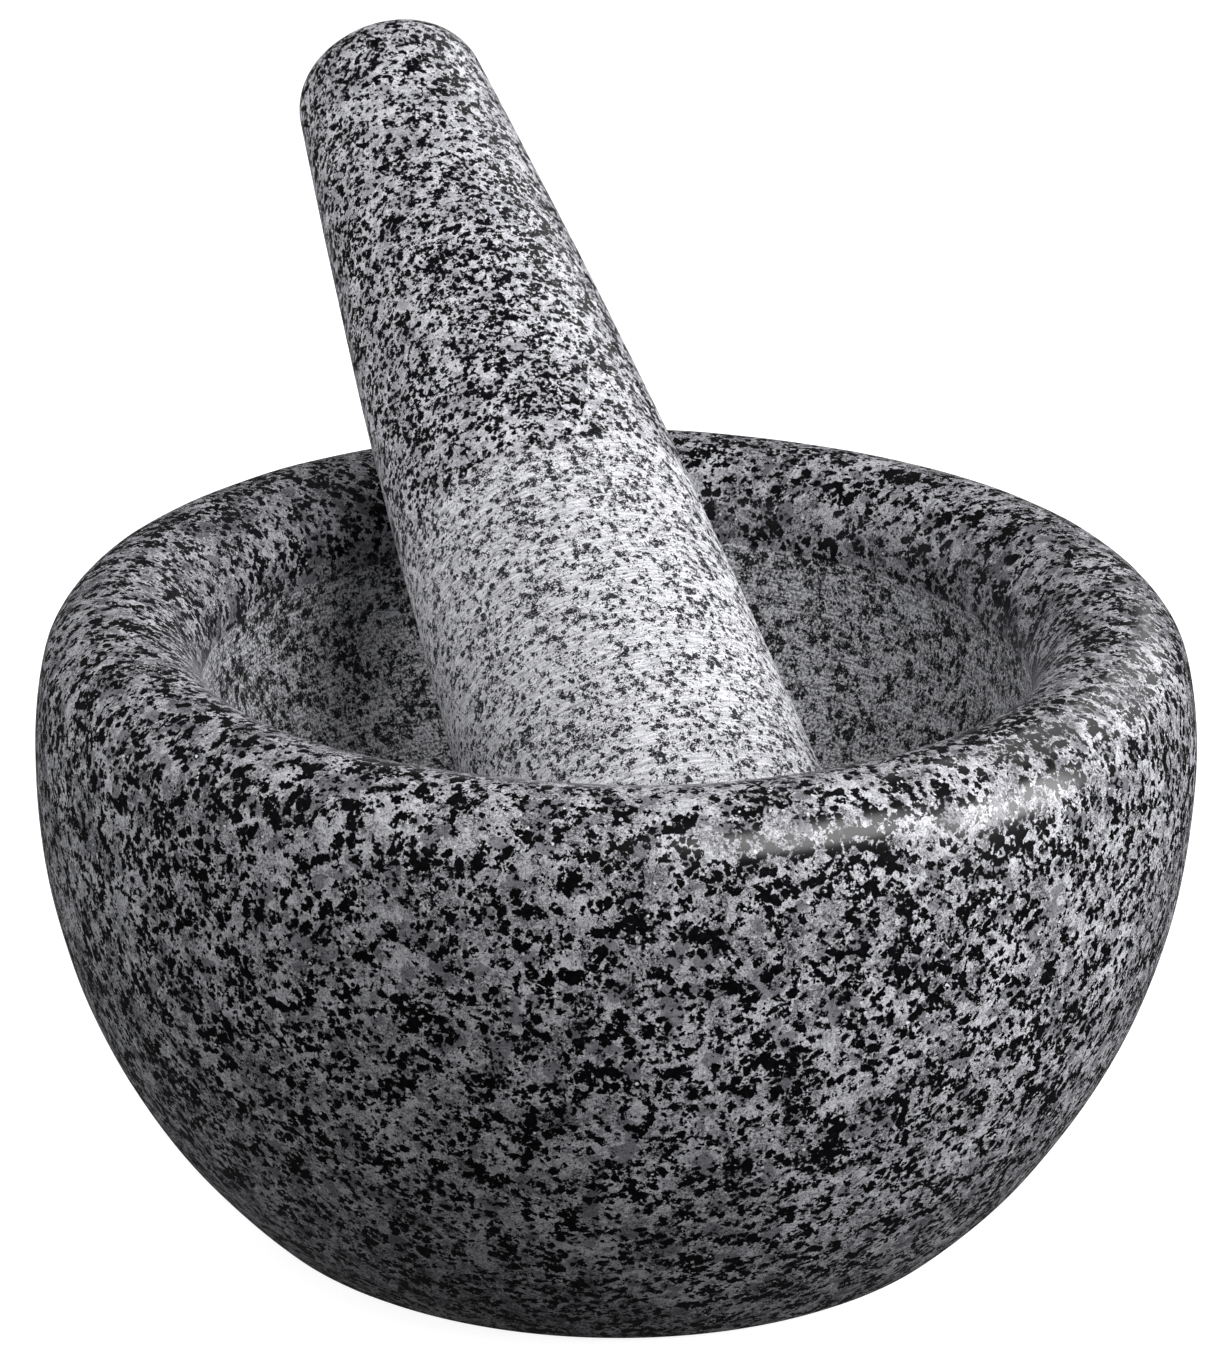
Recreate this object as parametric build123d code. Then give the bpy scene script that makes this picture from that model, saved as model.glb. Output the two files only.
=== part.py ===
"""Polished stone mortar with its pestle leaning in the bowl.

Millimetres and degrees. The origin is the centre of the mortar's flat base, +Z is up, and the
pestle leans towards +Y, so the pair is symmetric about the YZ plane. Each piece is one solid of
stone. An outline is a chain of tangent arcs, drawn as radius (X) against height (Y) and then
revolved. A heading is the outline's direction, counted from level and outwards.
"""

from build123d import *
from math import cos, radians, sin
import os

LEVEL_OUT = 0.0
UPRIGHT = 90.0
LEVEL_IN = 180.0
STRAIGHT_DOWN = 270.0

# Mortar
MORTAR_RADIUS = 90.0  # at its widest ring
FOOT_ARC = 4.0  # rounded edge of the flat base
LOWER_BELLY_ARC = 97.8
UPPER_BELLY_ARC = 118.8
SHOULDER_ARC = 62.3
OUTER_LIP_ARC = 11.4
INNER_LIP_ARC = 13.0
BOWL_WALL_ARC = 46.0
FOOT_END_HEADING = 42.8
LOWER_BELLY_END_HEADING = 83.0
SHOULDER_END_HEADING = 103.0
BOWL_WALL_END_HEADING = 210.0

# Pestle
HEEL_ARC = 27.2  # round working end
SIDE_ARC = 2150.0  # long, slightly bulging side
CORNER_ARC = 8.8  # rounded edge of the held end
HEEL_END_HEADING = 92.25
SIDE_END_HEADING = 96.35
CORNER_END_HEADING = 152.0

# Pestle at rest: two places nearly touch the mortar, each with 0.3 mm of air
LEAN = 58.2  # from upright
CROSSING_HEIGHT = 78.4  # where the pestle's axis crosses the mortar's
HEEL_DEPTH = 24.0  # from that crossing down the axis to the heel's centre


def arc_run(radius, heading, end_heading):
    """How far out an arc goes between two headings."""
    return radius * (sin(radians(end_heading)) - sin(radians(heading)))


def tangent_arcs(start, heading, stretches):
    """Arcs laid end to end, each given as (radius, heading at its end)."""
    arcs = []
    for radius, end_heading in stretches:
        direction = (cos(radians(heading)), sin(radians(heading)))
        arc = JernArc(start, direction, radius, end_heading - heading)
        arcs.append(arc)
        start = arc @ 1
        heading = end_heading
    return arcs


def cap_arc(rim, heading):
    """An arc from the rim point in to the axis, which it meets square on."""
    radius = rim.X / abs(sin(radians(LEVEL_IN - heading)))
    return tangent_arcs(rim, heading, [(radius, LEVEL_IN)])[0]


def revolved(curves):
    """The solid that the outline sweeps about the axis, closed along the axis."""
    closing = Line(curves[-1] @ 1, curves[0] @ 0)
    outline = make_face(curves + [closing])
    return revolve(Plane.XZ * outline, axis=Axis.Z)


def make_mortar():
    """Bellied bowl with a flat foot and a thick rolled lip."""
    outside = [
        (FOOT_ARC, FOOT_END_HEADING),
        (LOWER_BELLY_ARC, LOWER_BELLY_END_HEADING),
        (UPPER_BELLY_ARC, UPRIGHT),
    ]
    lip = [
        (SHOULDER_ARC, SHOULDER_END_HEADING),
        (OUTER_LIP_ARC, LEVEL_IN),
        (INNER_LIP_ARC, STRAIGHT_DOWN),
    ]
    base_radius = MORTAR_RADIUS
    heading = LEVEL_OUT
    for radius, end_heading in outside:
        base_radius -= arc_run(radius, heading, end_heading)
        heading = end_heading
    base = Line((0, 0), (base_radius, 0))
    skin = tangent_arcs(base @ 1, LEVEL_OUT, outside + lip)
    wall = tangent_arcs(skin[-1] @ 1, STRAIGHT_DOWN, [(BOWL_WALL_ARC, BOWL_WALL_END_HEADING)])
    floor = cap_arc(wall[-1] @ 1, BOWL_WALL_END_HEADING)
    return revolved([base] + skin + wall + [floor])


def make_pestle():
    """Thick club, standing on its heel with the held end up."""
    body = tangent_arcs(
        (0, 0),
        LEVEL_OUT,
        [
            (HEEL_ARC, HEEL_END_HEADING),
            (SIDE_ARC, SIDE_END_HEADING),
            (CORNER_ARC, CORNER_END_HEADING),
        ],
    )
    top = cap_arc(body[-1] @ 1, CORNER_END_HEADING)
    return revolved(body + [top])


def lean_in_bowl(pestle):
    """The pestle resting on the bowl's floor and on the far lip."""
    heel_point_depth = HEEL_DEPTH + HEEL_ARC
    return Pos(0, 0, CROSSING_HEIGHT) * Rot(-LEAN, 0, 0) * Pos(0, 0, -heel_point_depth) * pestle


def main():
    nodes = {
        "mortar": make_mortar(),
        "pestle": lean_in_bowl(make_pestle()),
    }
    os.makedirs("parts", exist_ok=True)
    for name, solid in nodes.items():
        export_step(solid, f"parts/{name}.step")


main()
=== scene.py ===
"""Looks of the polished granite mortar and its pestle, in metres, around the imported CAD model."""

import bpy
from math import cos, pi, radians, sin
from mathutils import Matrix, Vector, noise


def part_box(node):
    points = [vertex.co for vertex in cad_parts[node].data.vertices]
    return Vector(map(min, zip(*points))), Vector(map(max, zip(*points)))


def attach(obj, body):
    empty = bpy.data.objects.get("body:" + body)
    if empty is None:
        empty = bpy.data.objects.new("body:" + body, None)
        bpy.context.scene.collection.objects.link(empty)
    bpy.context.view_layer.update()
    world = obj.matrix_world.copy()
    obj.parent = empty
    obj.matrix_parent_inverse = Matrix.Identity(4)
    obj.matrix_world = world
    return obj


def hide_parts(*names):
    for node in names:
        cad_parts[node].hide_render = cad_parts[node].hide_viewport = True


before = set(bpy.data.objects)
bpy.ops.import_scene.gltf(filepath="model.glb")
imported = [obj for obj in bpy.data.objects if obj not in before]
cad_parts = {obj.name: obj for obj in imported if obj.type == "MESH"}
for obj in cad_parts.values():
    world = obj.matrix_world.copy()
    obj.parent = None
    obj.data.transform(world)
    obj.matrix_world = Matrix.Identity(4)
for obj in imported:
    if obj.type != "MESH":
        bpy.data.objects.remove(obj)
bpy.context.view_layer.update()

MM = 0.001
TURN = 2.0 * pi

# ---------------------------------------------------------------------------------------------
# Shapes: the outlines of the CAD pieces, as arcs of (radius in mm, heading at the arc's end).
# A heading is in degrees, from level and outwards.
# ---------------------------------------------------------------------------------------------
LEVEL_OUT, UPRIGHT, LEVEL_IN, STRAIGHT_DOWN = 0.0, 90.0, 180.0, 270.0
MORTAR_RADIUS = round(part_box("mortar")[1][0] / MM, 3)
BELLY = [(4.0, 42.8), (97.8, 83.0), (118.8, UPRIGHT)]
LIP = [(62.3, 103.0), (11.4, LEVEL_IN), (13.0, STRAIGHT_DOWN)]
BOWL_WALL = (46.0, 210.0)
HEEL_RADIUS = 27.2
CLUB = [(HEEL_RADIUS, 92.25), (2150.0, 96.35), (8.8, 152.0)]
LEAN = 58.2
CROSSING_HEIGHT = 78.4  # where the pestle's axis crosses the mortar's
HEEL_DEPTH = 24.0 + HEEL_RADIUS  # from that crossing down the axis to the end of the heel

# Spacing of the mesh in mm along the outlines, and the number of points round them
BASE_STEPS = 12
BELLY_STEP, INNER_LIP_STEP, BOWL_WALL_STEP, BOWL_FLOOR_STEP = 1.3, 0.5, 1.0, 1.1
PESTLE_STEP = 0.55
MORTAR_AROUND, PESTLE_AROUND = 400, 192

# Unevenness of the stone, as waves of (strength, size of the bumps, seed), with lengths in mm
MORTAR_POLISH = [(0.28, 38.0, 0.0), (0.10, 13.0, 5.0)]
MORTAR_WEAR = [(0.12, 9.0, 11.0)]
MORTAR_EDGE = [(0.5, 14.0, 3.0), (0.25, 4.0, 7.0)]
MORTAR_RING_WAVER = [(1.5, 30.0, 2.0)]
PESTLE_POLISH = [(0.16, 26.0, 1.0)]
PESTLE_WEAR = [(0.06, 6.0, 9.0)]
PESTLE_EDGE = [(3.0, 16.0, 4.0)]
PESTLE_RING_WAVER = [(2.0, 20.0, 6.0)]

# Tool rings in the ground stone: depth and pitch, and how far grinding took the surface down
MORTAR_RINGS, MORTAR_GROUND_DEPTH = (0.05, 4.6), 0.22
PESTLE_RINGS, PESTLE_GROUND_DEPTH = (0.035, 2.9), 0.1

# Where the ground stone starts, and how wide its edge is
BOWL_EDGE_BELOW_THROAT, BOWL_EDGE_BLUR = 0.6, 0.5
PESTLE_GROUND_SHARE, PESTLE_EDGE_BLUR = 0.46, 6.0
FOOT_TRUE_HEIGHT, FOOT_FADE_HEIGHT = 0.5, 12.0  # the foot itself stays exactly flat and round


def smooth_step(value, low, high):
    """0 below low, 1 above high, eased in between."""
    share = min(max((value - low) / (high - low), 0.0), 1.0)
    return share * share * (3.0 - 2.0 * share)


def arc_points(start, heading, radius, end_heading, step):
    """Points along an arc, without its start, about one step apart."""
    length = abs(radians(end_heading - heading)) * radius
    count = max(2, round(length / step))
    side = 1.0 if end_heading > heading else -1.0
    points = []
    for index in range(1, count + 1):
        now = radians(heading + (end_heading - heading) * index / count)
        out = side * radius * (sin(now) - sin(radians(heading)))
        rise = side * radius * (cos(radians(heading)) - cos(now))
        points.append((start[0] + out, start[1] + rise))
    return points


def follow(points, heading, arcs, step):
    """Adds tangent arcs to an outline."""
    for radius, end_heading in arcs:
        points += arc_points(points[-1], heading, radius, end_heading, step)
        heading = end_heading
    return points


def close_on_axis(points, heading, step):
    """Adds the arc that meets the axis square on."""
    radius = points[-1][0] / abs(sin(radians(LEVEL_IN - heading)))
    return follow(points, heading, [(radius, LEVEL_IN)], step)


def mortar_outline():
    """Base, belly, lip and bowl, as (radius, height) in mm. The throat's index comes with it."""
    base_radius = MORTAR_RADIUS
    heading = LEVEL_OUT
    for radius, end_heading in BELLY:
        base_radius -= radius * (sin(radians(end_heading)) - sin(radians(heading)))
        heading = end_heading
    points = [(base_radius * share / BASE_STEPS, 0.0) for share in range(BASE_STEPS + 1)]
    follow(points, LEVEL_OUT, BELLY + LIP[:2], BELLY_STEP)
    follow(points, LEVEL_IN, LIP[2:], INNER_LIP_STEP)
    throat = len(points) - 1
    follow(points, STRAIGHT_DOWN, [BOWL_WALL], BOWL_WALL_STEP)
    close_on_axis(points, BOWL_WALL[1], BOWL_FLOOR_STEP)
    return points, throat


def pestle_outline():
    """Heel, side and held end, as (radius, height) in mm from the heel's lowest point."""
    points = follow([(0.0, 0.0)], LEVEL_OUT, CLUB, PESTLE_STEP)
    return close_on_axis(points, CLUB[-1][1], PESTLE_STEP)


def distances(points):
    """How far along the outline each of its points is."""
    along = [0.0]
    for before, after in zip(points, points[1:]):
        along.append(along[-1] + (Vector(after) - Vector(before)).length)
    return along


def ring_faces(rows, around):
    """Faces between rings of points, closed by a first and a last point on the axis."""
    first, last = rows * around, rows * around + 1
    faces = []
    for row in range(rows - 1):
        for turn in range(around):
            here = row * around + turn
            beside = row * around + (turn + 1) % around
            faces.append((here, beside, beside + around, here + around))
    top_row = (rows - 1) * around
    for turn in range(around):
        beside = (turn + 1) % around
        faces.append((first, beside, turn))
        faces.append((last, top_row + turn, top_row + beside))
    return faces


def revolve(name, points, around, surface):
    """A closed mesh turned about the axis. surface(radius, height, along, angle) gives the offset
    along the outline's normal in mm, and how far the stone there is ground, from 0 to 1. The mesh
    keeps that as its ground mark, and the way round and along the piece as its turned mark."""
    along = distances(points)
    rings = range(1, len(points) - 1)
    places, marks = [], []
    for index in rings:
        tangent = (Vector(points[index + 1]) - Vector(points[index - 1])).normalized()
        radius, height = points[index]
        for turn in range(around):
            angle = TURN * turn / around
            offset, ground = surface(radius, height, along[index], angle)
            out = radius + offset * tangent.y
            up = height - offset * tangent.x
            places.append((out * cos(angle), out * sin(angle), up))
            marks.append((ground, cos(angle), sin(angle), along[index]))
    places += [(0.0, 0.0, points[0][1]), (0.0, 0.0, points[-1][1])]
    marks += [(marks[0][0], 0.0, 0.0, 0.0), (marks[-1][0], 0.0, 0.0, along[-1])]
    mesh = bpy.data.meshes.new(name)
    metres = [[MM * value for value in place] for place in places]
    mesh.from_pydata(metres, [], ring_faces(len(rings), around))
    mesh.shade_smooth()
    ground_mark = mesh.attributes.new("ground", "FLOAT", "POINT")
    ground_mark.data.foreach_set("value", [mark[0] for mark in marks])
    turned_mark = mesh.attributes.new("turned", "FLOAT_VECTOR", "POINT")
    turned_mark.data.foreach_set("vector", [value for mark in marks for value in mark[1:]])
    piece = bpy.data.objects.new(name, mesh)
    bpy.context.collection.objects.link(piece)
    return piece


def wander(place, waves):
    """Smooth unevenness at a place in mm: the sum of the waves' noise."""
    x, y, z = place
    total = 0.0
    for strength, size, seed in waves:
        total += strength * noise.noise(Vector((x / size + seed, y / size, z / size)))
    return total


def tool_ring(rings, along, waver):
    """Height of the rings that a turning tool leaves, as they waver about their pitch."""
    depth, pitch = rings
    return depth * sin(TURN * along / pitch + waver)


def make_mortar():
    points, throat = mortar_outline()
    edge = distances(points)[throat] + BOWL_EDGE_BELOW_THROAT

    def surface(radius, height, along, angle):
        x, y = radius * cos(angle), radius * sin(angle)
        place = (x, y, height)
        wobble = wander((x, y, 0.0), MORTAR_EDGE)
        ground = smooth_step(along + wobble, edge - BOWL_EDGE_BLUR, edge + BOWL_EDGE_BLUR)
        foot = smooth_step(height, FOOT_TRUE_HEIGHT, FOOT_FADE_HEIGHT) if along < edge else 1.0
        polish = wander(place, MORTAR_POLISH)
        rings = tool_ring(MORTAR_RINGS, along, wander(place, MORTAR_RING_WAVER))
        worn = rings + wander(place, MORTAR_WEAR) - MORTAR_GROUND_DEPTH
        return foot * (polish * (1.0 - ground) + ground * worn), ground

    return revolve("mortar_stone", points, MORTAR_AROUND, surface)


def make_pestle():
    points = pestle_outline()
    length = points[-1][1]

    def surface(radius, height, along, angle):
        place = (radius * cos(angle), radius * sin(angle), height)
        edge = PESTLE_GROUND_SHARE * length + wander(place, PESTLE_EDGE)
        ground = 1.0 - smooth_step(height, edge - PESTLE_EDGE_BLUR, edge + PESTLE_EDGE_BLUR)
        polish = wander(place, PESTLE_POLISH)
        rings = tool_ring(PESTLE_RINGS, height, wander(place, PESTLE_RING_WAVER))
        worn = rings + wander(place, PESTLE_WEAR) - PESTLE_GROUND_DEPTH
        return polish * (1.0 - ground) + ground * worn, ground

    piece = revolve("pestle_stone", points, PESTLE_AROUND, surface)
    lean = (
        Matrix.Translation((0.0, 0.0, MM * CROSSING_HEIGHT))
        @ Matrix.Rotation(radians(-LEAN), 4, "X")
        @ Matrix.Translation((0.0, 0.0, -MM * HEEL_DEPTH))
    )
    piece.data.transform(lean)
    return piece


# ---------------------------------------------------------------------------------------------
# Granite
# ---------------------------------------------------------------------------------------------
class Tree:
    """Short calls for one material's nodes. An input is a number, a colour or another socket."""

    def __init__(self, name):
        self.material = bpy.data.materials.new(name)
        self.material.use_nodes = True
        self.tree = self.material.node_tree
        self.shader = self.tree.nodes["Principled BSDF"]

    def feed(self, socket, value):
        if isinstance(value, bpy.types.NodeSocket):
            self.tree.links.new(value, socket)
        else:
            socket.default_value = value

    def add(self, kind, inputs, output=0, **settings):
        node = self.tree.nodes.new(kind)
        for key, value in settings.items():
            setattr(node, key, value)
        for key, value in inputs.items():
            self.feed(node.inputs[key], value)
        return node.outputs[output]

    def attribute(self, name, output):
        return self.add("ShaderNodeAttribute", {}, output, attribute_name=name)

    def math(self, operation, a, b):
        return self.add("ShaderNodeMath", {0: a, 1: b}, operation=operation)

    def vector(self, operation, a, b):
        return self.add("ShaderNodeVectorMath", {0: a, 1: b}, operation=operation)

    def scaled(self, vector, scale):
        return self.add("ShaderNodeVectorMath", {0: vector, "Scale": scale}, operation="SCALE")

    def step(self, value, low, high):
        """0 at low and 1 at high, eased in between. Low may be the larger."""
        inputs = {"Value": value, "From Min": low, "From Max": high}
        return self.add("ShaderNodeMapRange", inputs, interpolation_type="SMOOTHSTEP")

    def noise(self, where, pattern, output="Fac"):
        scale, detail, roughness = pattern
        inputs = {"Vector": where, "Scale": scale, "Detail": detail, "Roughness": roughness}
        return self.add("ShaderNodeTexNoise", inputs, output)

    def grains(self, where, scale, output="Color"):
        return self.add("ShaderNodeTexVoronoi", {"Vector": where, "Scale": scale}, output)

    def mix(self, share, a, b):
        return self.add("ShaderNodeMix", {0: share, 6: a, 7: b}, 2, data_type="RGBA")

    def channel(self, colour, index):
        return self.add("ShaderNodeSeparateColor", {"Color": colour}, index)

    def weigh(self, *terms):
        """The sum of (value, weight) pairs."""
        total = 0.0
        for value, weight in terms:
            node = self.tree.nodes.new("ShaderNodeMath")
            node.operation = "MULTIPLY_ADD"
            self.feed(node.inputs[0], value)
            self.feed(node.inputs[1], weight)
            self.feed(node.inputs[2], total)
            total = node.outputs[0]
        return total

    def lerp(self, share, a, b):
        return self.add("ShaderNodeMix", {0: share, 2: a, 3: b}, 0, data_type="FLOAT")


# Patterns of noise, as (repeats per mm at fineness 1, detail, roughness)
SHAKE = (2.4, 3.0, 0.65)
CLUMPS = (0.17, 2.0, 0.5)
BLOTCHES = (0.95, 5.0, 0.66)
CLOUDS = (0.11, 2.0, 0.5)
MOTTLE = (1.9, 5.0, 0.80)
DAPPLE = (5.0, 2.0, 0.8)
SMOKE = (1.3, 4.0, 0.75)
PINHOLES = (2.9, 2.0, 0.6)
BREAKING = (2.6, 3.0, 0.7)
GROUND_EDGE = (0.8, 3.0, 0.6)
GRIT_DETAIL, GRIT_ROUGHNESS = 3.0, 0.75

# Fine tool lines: noise in the turned mark, stretched to be finer along the piece than round it
TOOL_LINES = (1.0, 3.0, 0.6)
TOOL_LINE_STRETCH = (9.0, 9.0, 2.6)

# Grains, as repeats per mm at fineness 1
# The last grain size here is that of the painted glints: tiny white spots standing for cleavage faces
# that catch the light.
CRYSTALS, FLAKES, PATCHES, CHIPS, QUARTZES, PAINTED_GLINTS = 0.66, 1.5, 0.62, 2.9, 0.40, 2.6

# Levels of a pattern, from none of the thing to all of it
FELDSPAR_TONES = (1.08, 1.70)
QUARTZ_LEVELS = (0.84, 0.86)
SMOKE_LEVELS = (0.46, 0.66)
PINHOLE_LEVELS = (0.60, 0.66)
PAINTED_GLINT_LEVELS = (0.9965, 0.9975)
CRUSHED_LEVELS = (0.40, 0.62)
GROUND_LEVELS = (0.55, 0.95)

RAGGEDNESS = 0.75  # of a grain's edge
GROUND_RAGGEDNESS = 0.5  # of the edge of the ground stone
DARK_EDGE = 0.02  # how soft a dark grain's edge is
DARK_RIM = 0.10  # how far the paler rim of a dark grain reaches
SPECK_EDGE = 0.05  # how soft a crushed speck's edge is
QUARTZ_COVER = 0.7
PAINTED_GLINT_COVER = 0.9
DARK_DIP = -0.015  # dark grains sit a little lower in the bump
REFRACTION = 1.52
BUMP_STRENGTH = 0.8


class Stone:
    """Where a point of the stone is, for its patterns, and how far it is ground."""

    def __init__(self, t, look):
        place = t.add("ShaderNodeTexCoord", {}, "Object")
        self.where = t.scaled(place, look["fineness"] / MM)
        self.ground = t.attribute("ground", "Fac")
        self.turned = t.attribute("turned", "Vector")
        # Ragged grain edges: the place is shaken by fine noise before any grain is looked up.
        shake = t.vector("SUBTRACT", t.noise(self.where, SHAKE, "Color"), (0.5, 0.5, 0.5))
        self.ragged = t.vector("ADD", self.where, t.scaled(shake, RAGGEDNESS))


def dark_mineral(t, stone, look):
    """Blocky crystals in two sizes, with thin light seams between them, that gather in clumps.
    Gives their score, which is low in a crystal, and 1 where the stone is dark."""
    crystal_reach = t.grains(stone.ragged, CRYSTALS, "Distance")
    crystal = t.channel(crystal_reach.node.outputs["Color"], 0)
    flake_reach = t.grains(stone.ragged, FLAKES, "Distance")
    flake = t.channel(flake_reach.node.outputs["Color"], 0)
    clump = t.noise(stone.where, CLUMPS)
    blotch = t.noise(stone.ragged, BLOTCHES)
    big = t.weigh((crystal, 0.32), (crystal_reach, 0.30))
    small = t.weigh((flake, 0.20), (flake_reach, 0.16))
    score = t.weigh((big, 1.0), (small, 1.0), (clump, look["clumping"]), (blotch, 0.60))
    return score, t.step(score, look["dark_from"], look["dark_from"] - DARK_EDGE)


def light_mineral(t, stone, score, look):
    """Feldspar in several greys, finely mottled, and smooth grains of quartz."""
    patch = t.channel(t.grains(stone.ragged, PATCHES), 1)
    cloud = t.noise(stone.where, CLOUDS)
    mottle = t.noise(stone.ragged, MOTTLE)
    rim = t.step(score, look["dark_from"] + DARK_RIM, look["dark_from"])
    chip = t.channel(t.grains(stone.ragged, CHIPS), 1)
    dapple = t.noise(stone.where, DAPPLE)
    broad = ((patch, 0.20), (cloud, 0.5), (mottle, 0.9))
    fine = ((chip, 0.22), (dapple, 0.9), (rim, 0.08))
    tone = t.weigh(*broad, *fine)
    feldspar = t.mix(t.step(tone, *FELDSPAR_TONES), look["grey"], look["pale"])
    quartz = t.step(t.channel(t.grains(stone.ragged, QUARTZES), 2), *QUARTZ_LEVELS)
    return t.mix(t.math("MULTIPLY", quartz, QUARTZ_COVER), feldspar, look["quartz"])


def polished_stone(t, stone, score, dark, look):
    """Light and dark mineral, with pinholes of dark and a few tiny white spots that are painted glints,
    standing for cleavage faces that catch the light.
    """
    light_stone = light_mineral(t, stone, score, look)
    smoke = t.step(t.noise(stone.where, SMOKE), *SMOKE_LEVELS)
    charcoal = t.mix(smoke, look["black"], look["charcoal"])
    colour = t.mix(dark, light_stone, charcoal)
    pinhole = t.step(t.noise(stone.where, PINHOLES), *PINHOLE_LEVELS)
    colour = t.mix(t.math("MULTIPLY", pinhole, look["pinholes"]), colour, look["charcoal"])
    # Painted glints: rare tiny grains turned white, standing for cleavage faces that catch the light.
    painted_glint = t.step(t.channel(t.grains(stone.ragged, PAINTED_GLINTS), 0), *PAINTED_GLINT_LEVELS)
    return t.mix(t.math("MULTIPLY", painted_glint, PAINTED_GLINT_COVER), colour, look["painted_glint"])


def ground_stone(t, stone, score, look):
    """The light mineral crushed to a pale dust with fine lines that run round the piece, darkened by
    painted shade in the low spots of its grit and lines, and the dark mineral broken up into specks and
    pits. Gives the colour and the height."""
    grit = t.noise(stone.where, (look["grit_scale"], GRIT_DETAIL, GRIT_ROUGHNESS))
    lines = t.noise(t.vector("MULTIPLY", stone.turned, TOOL_LINE_STRETCH), TOOL_LINES)
    mealiness = t.weigh((lines, look["line_share"]), (grit, 1.0 - look["line_share"]))
    # Pale dust on the raised grit and tool lines, and painted shade in their low spots, where the bump
    # dips too. The dust below carries both.
    dust_and_hollow_shade = t.step(mealiness, 0.5 - look["dust_and_shade_blur"], 0.5 + look["dust_and_shade_blur"])
    dust = t.mix(dust_and_hollow_shade, look["dust_in_painted_shade"], look["dust"])
    broken = t.weigh((score, 1.0), (t.noise(stone.where, BREAKING), look["break_up"]))
    speck = t.step(broken, look["speck_from"], look["speck_from"] - SPECK_EDGE)
    crushed = t.mix(t.step(grit, *CRUSHED_LEVELS), look["pit"], look["crushed"])
    rise = t.weigh((lines, 0.6), (grit, 0.6), (speck, -0.5))
    return t.mix(speck, dust, crushed), t.math("MULTIPLY", stone.ground, rise)


def granite(name, look):
    """Speckled granite, polished where the ground mark is 0 and tool-marked where it is 1."""
    t = Tree(name)
    stone = Stone(t, look)
    score, dark = dark_mineral(t, stone, look)
    polished = polished_stone(t, stone, score, dark, look)
    worked, worked_height = ground_stone(t, stone, score, look)
    edge = t.weigh((stone.ground, 1.0), (t.noise(stone.where, GROUND_EDGE), GROUND_RAGGEDNESS))
    ragged_ground = t.step(edge, *GROUND_LEVELS)
    t.feed(t.shader.inputs["Base Color"], t.mix(ragged_ground, polished, worked))

    polish = t.lerp(dark, look["rough_light"], look["rough_dark"])
    t.feed(t.shader.inputs["Roughness"], t.lerp(ragged_ground, polish, look["rough_ground"]))
    t.shader.inputs["IOR"].default_value = REFRACTION
    t.shader.inputs["Specular IOR Level"].default_value = look["gloss"]

    height = t.math("ADD", worked_height, t.math("MULTIPLY", dark, DARK_DIP))
    relief = {"Height": height, "Distance": look["relief"] * MM, "Strength": BUMP_STRENGTH}
    t.feed(t.shader.inputs["Normal"], t.add("ShaderNodeBump", relief, "Normal"))
    return t.material


# The two stones. Colours are linear. fineness scales all the grains, and dark_from is the score
# below which a grain is dark. relief is the bump's depth in mm.
MORTAR_LOOK = {
    "fineness": 1.1,
    "dark_from": 1.072,
    "clumping": 0.55,
    "black": (0.0006, 0.0006, 0.0009, 1.0),
    "charcoal": (0.007, 0.0065, 0.008, 1.0),
    "grey": (0.028, 0.027, 0.032, 1.0),
    "pale": (0.66, 0.66, 0.70, 1.0),
    "quartz": (0.12, 0.12, 0.135, 1.0),
    # white of the painted glints on cleavage faces
    "painted_glint": (0.8, 0.8, 0.82, 1.0),
    "pinholes": 0.7,
    "grit_scale": 1.9,
    "line_share": 0.30,
    "dust_and_shade_blur": 0.07,
    # the dust's tone under painted shade, in the low spots of the ground stone
    "dust_in_painted_shade": (0.17, 0.17, 0.185, 1.0),
    "dust": (0.94, 0.94, 0.98, 1.0),
    "break_up": 1.2,
    "speck_from": 1.64,
    "pit": (0.0006, 0.0006, 0.0008, 1.0),
    "crushed": (0.02, 0.02, 0.023, 1.0),
    "gloss": 0.36,
    "relief": 0.8,
    "rough_light": 0.25,
    "rough_dark": 0.22,
    "rough_ground": 0.7,
}
PESTLE_LOOK = {
    "fineness": 1.5,
    "dark_from": 0.982,
    "clumping": 0.34,
    "black": (0.0006, 0.0006, 0.0009, 1.0),
    "charcoal": (0.011, 0.010, 0.013, 1.0),
    "grey": (0.22, 0.22, 0.24, 1.0),
    "pale": (0.80, 0.80, 0.84, 1.0),
    "quartz": (0.34, 0.34, 0.37, 1.0),
    # white of the painted glints on cleavage faces
    "painted_glint": (0.85, 0.85, 0.87, 1.0),
    "pinholes": 0.4,
    "grit_scale": 2.6,
    "line_share": 0.52,
    "dust_and_shade_blur": 0.14,
    # the dust's tone under painted shade, in the low spots of the ground stone
    "dust_in_painted_shade": (0.34, 0.34, 0.365, 1.0),
    "dust": (0.90, 0.90, 0.94, 1.0),
    "break_up": 1.0,
    "speck_from": 1.43,
    "pit": (0.006, 0.006, 0.007, 1.0),
    "crushed": (0.075, 0.075, 0.085, 1.0),
    "gloss": 0.10,
    "relief": 0.35,
    "rough_light": 0.34,
    "rough_dark": 0.28,
    "rough_ground": 0.8,
}


def dress(piece, look, body):
    """Gives a piece its granite and its body, and hides the CAD node that it stands for."""
    piece.data.materials.append(granite(piece.name, look))
    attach(piece, body)
    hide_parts(body)


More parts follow.
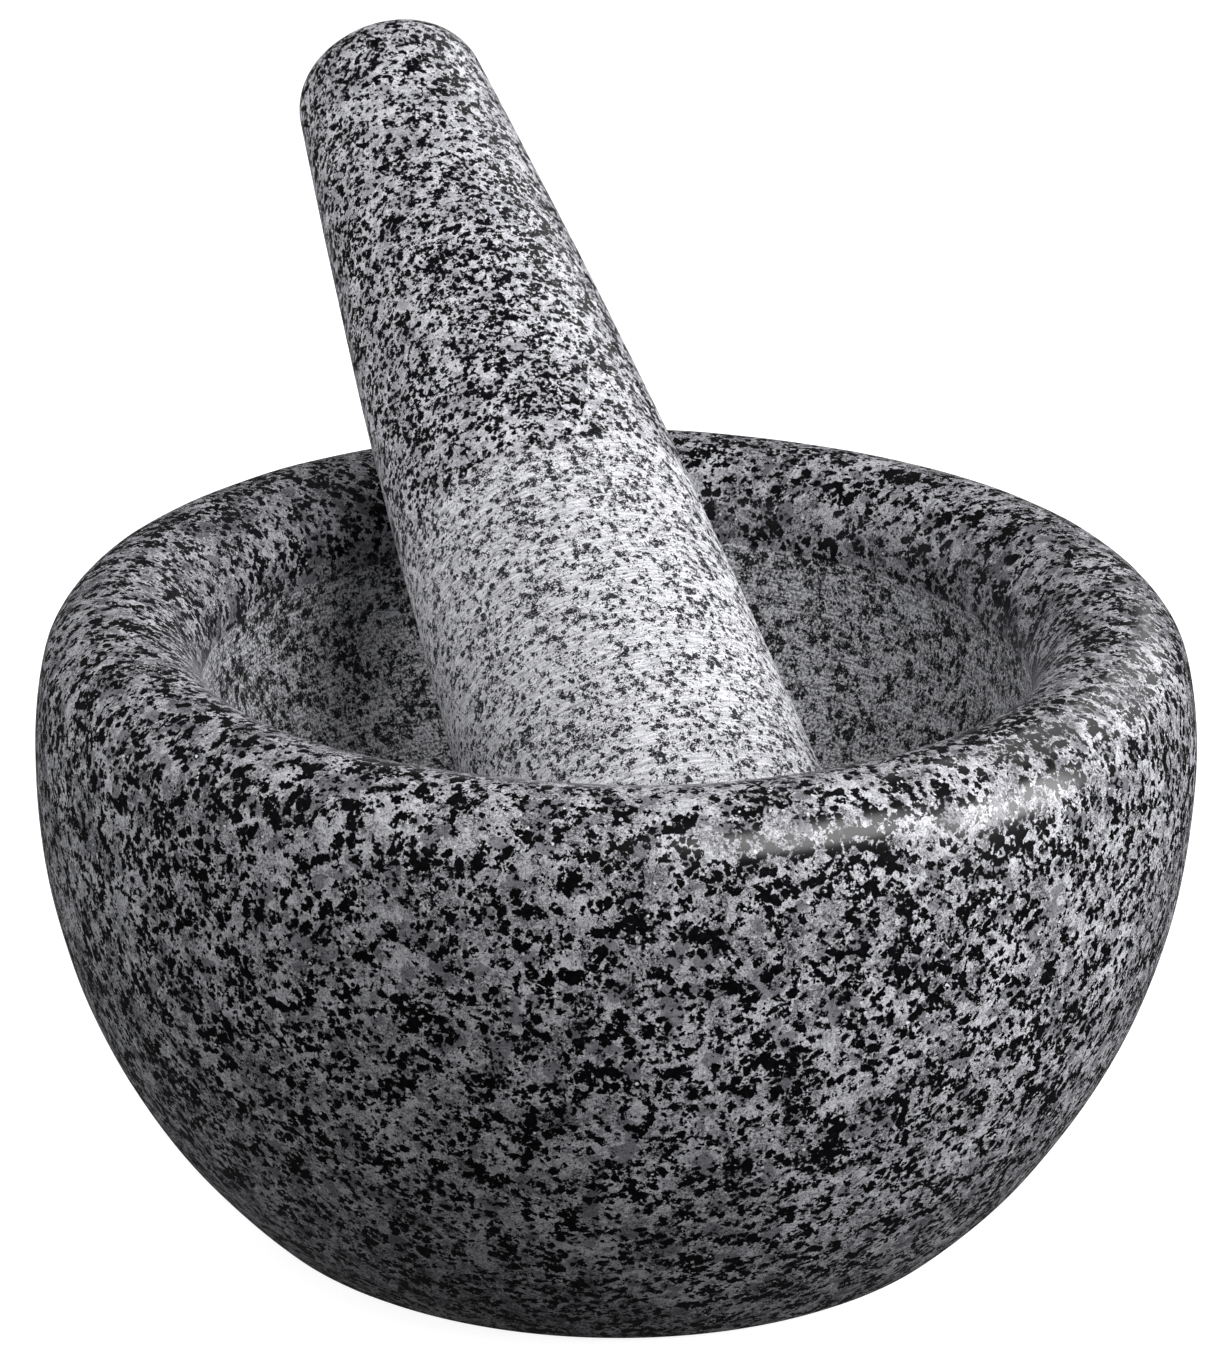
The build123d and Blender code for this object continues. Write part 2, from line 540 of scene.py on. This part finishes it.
# ---------------------------------------------------------------------------------------------
# Camera, light and floor
# ---------------------------------------------------------------------------------------------
VIEW_AZIMUTH, VIEW_ELEVATION, VIEW_ROLL = -20.2, 21.58, 0.65
VIEW_DISTANCE = 1.1
VIEW_LENS, VIEW_SENSOR = 186.95, 36.0
AIM = Vector((-0.0014, 0.0005, 0.0845))
LAMP_DISTANCE = 1.25
FLOOR_HALF = 5.0
WALL_RADIUS, WALL_HEIGHT, WALL_SIDES = 8.0, 8.0, 48
FLOOR_GLOW, WALL_GLOW = 0.90, 0.92
FLOOR_ROUGHNESS = 0.9
WHITE, FLOOR_GREY, BLACK = (1.0, 1.0, 1.0, 1.0), (0.35, 0.35, 0.35, 1.0), (0.0, 0.0, 0.0, 1.0)
# The surrounding light: height of its direction, and its strength there
SKY = {"From Min": -0.4, "From Max": 0.3, "To Min": 0.03, "To Max": 0.07}


def toward(azimuth, elevation):
    """The direction from the object to a viewer or light at these angles in degrees."""
    a, e = radians(azimuth), radians(elevation)
    return Vector((sin(a) * cos(e), -cos(a) * cos(e), sin(e)))


def facing(back, roll=0.0):
    """A rotation that looks against back, with its right side level before the roll."""
    right = Vector((0.0, 0.0, 1.0)).cross(back).normalized()
    up = back.cross(right)
    turn = radians(roll)
    rolled_right = cos(turn) * right + sin(turn) * up
    rolled_up = cos(turn) * up - sin(turn) * right
    return Matrix((rolled_right, rolled_up, back)).transposed().to_4x4()


def make_camera():
    data = bpy.data.cameras.new("camera")
    data.sensor_width = VIEW_SENSOR
    data.lens = VIEW_LENS
    camera = bpy.data.objects.new("camera", data)
    back = toward(VIEW_AZIMUTH, VIEW_ELEVATION)
    camera.matrix_world = Matrix.Translation(AIM + VIEW_DISTANCE * back) @ facing(back, VIEW_ROLL)
    bpy.context.collection.objects.link(camera)
    bpy.context.scene.camera = camera


def soft_box(name, azimuth, elevation, width, height, power, mirrored=True):
    """A lamp aimed at the mortar, placed by its angles from the camera's own azimuth. When it
    isn't mirrored it lights the stone but leaves no reflection in its polish."""
    data = bpy.data.lights.new(name, "AREA")
    data.shape = "RECTANGLE"
    data.size = width
    data.size_y = height
    data.energy = power
    lamp = bpy.data.objects.new(name, data)
    lamp.visible_glossy = mirrored
    back = toward(VIEW_AZIMUTH + azimuth, elevation)
    lamp.matrix_world = Matrix.Translation(AIM + LAMP_DISTANCE * back) @ facing(back)
    bpy.context.collection.objects.link(lamp)


def make_floor():
    """A pale floor that takes the object's shadow but throws no light back at it."""
    mesh = bpy.data.meshes.new("floor")
    signs = [(-1.0, -1.0), (1.0, -1.0), (1.0, 1.0), (-1.0, 1.0)]
    corners = [(FLOOR_HALF * x, FLOOR_HALF * y, 0.0) for x, y in signs]
    mesh.from_pydata(corners, [], [(0, 1, 2, 3)])
    t = Tree("floor")
    t.shader.inputs["Base Color"].default_value = FLOOR_GREY
    t.shader.inputs["Emission Color"].default_value = WHITE
    t.shader.inputs["Emission Strength"].default_value = FLOOR_GLOW
    t.shader.inputs["Roughness"].default_value = FLOOR_ROUGHNESS
    mesh.materials.append(t.material)
    floor = bpy.data.objects.new("floor", mesh)
    floor.visible_diffuse = False
    floor.visible_glossy = False
    bpy.context.collection.objects.link(floor)


def make_world():
    """Faint light from all round, a little more from above."""
    world = bpy.data.worlds.new("studio")
    world.use_nodes = True
    tree = world.node_tree
    heading = tree.nodes.new("ShaderNodeTexCoord")
    parts = tree.nodes.new("ShaderNodeSeparateXYZ")
    fade = tree.nodes.new("ShaderNodeMapRange")
    tree.links.new(heading.outputs["Generated"], parts.inputs[0])
    tree.links.new(parts.outputs["Z"], fade.inputs["Value"])
    for name, value in SKY.items():
        fade.inputs[name].default_value = value
    tree.links.new(fade.outputs[0], tree.nodes["Background"].inputs["Strength"])
    tree.nodes["Background"].inputs["Color"].default_value = WHITE
    bpy.context.scene.world = world
    bpy.context.scene.view_settings.view_transform = "Standard"


def make_backdrop():
    """A pale wall all round, seen by the camera only."""
    mesh = bpy.data.meshes.new("backdrop")
    corners = []
    for height in (-WALL_HEIGHT, WALL_HEIGHT):
        for side in range(WALL_SIDES):
            angle = TURN * side / WALL_SIDES
            corners.append((WALL_RADIUS * cos(angle), WALL_RADIUS * sin(angle), height))
    faces = []
    for side in range(WALL_SIDES):
        beside = (side + 1) % WALL_SIDES
        faces.append((side, beside, beside + WALL_SIDES, side + WALL_SIDES))
    faces.append(tuple(range(WALL_SIDES, 2 * WALL_SIDES)))
    faces.append(tuple(range(WALL_SIDES)))
    mesh.from_pydata(corners, [], faces)
    t = Tree("backdrop")
    t.shader.inputs["Base Color"].default_value = BLACK
    t.shader.inputs["Specular IOR Level"].default_value = 0.0
    t.shader.inputs["Emission Color"].default_value = WHITE
    t.shader.inputs["Emission Strength"].default_value = WALL_GLOW
    mesh.materials.append(t.material)
    wall = bpy.data.objects.new("backdrop", mesh)
    for ray in ("diffuse", "glossy", "transmission", "shadow"):
        setattr(wall, "visible_" + ray, False)
    bpy.context.collection.objects.link(wall)


make_camera()
make_world()
make_floor()
make_backdrop()
soft_box("key", azimuth=45.0, elevation=42.0, width=0.75, height=0.62, power=11.5)
soft_box("side", azimuth=82.0, elevation=18.0, width=0.70, height=0.60, power=13.5)
soft_box("low", azimuth=36.0, elevation=7.0, width=0.80, height=0.50, power=3.2, mirrored=False)
soft_box("left", azimuth=-105.0, elevation=32.0, width=0.90, height=0.90, power=4.5, mirrored=False)
soft_box("high_left", azimuth=-60.0, elevation=60.0, width=0.90, height=0.90, power=2.6, mirrored=False)
soft_box("low_left", azimuth=-88.0, elevation=8.0, width=0.80, height=0.80, power=6.5, mirrored=False)
soft_box("rim", azimuth=140.0, elevation=30.0, width=0.90, height=0.90, power=3.6)
dress(make_mortar(), MORTAR_LOOK, "mortar")
dress(make_pestle(), PESTLE_LOOK, "pestle")
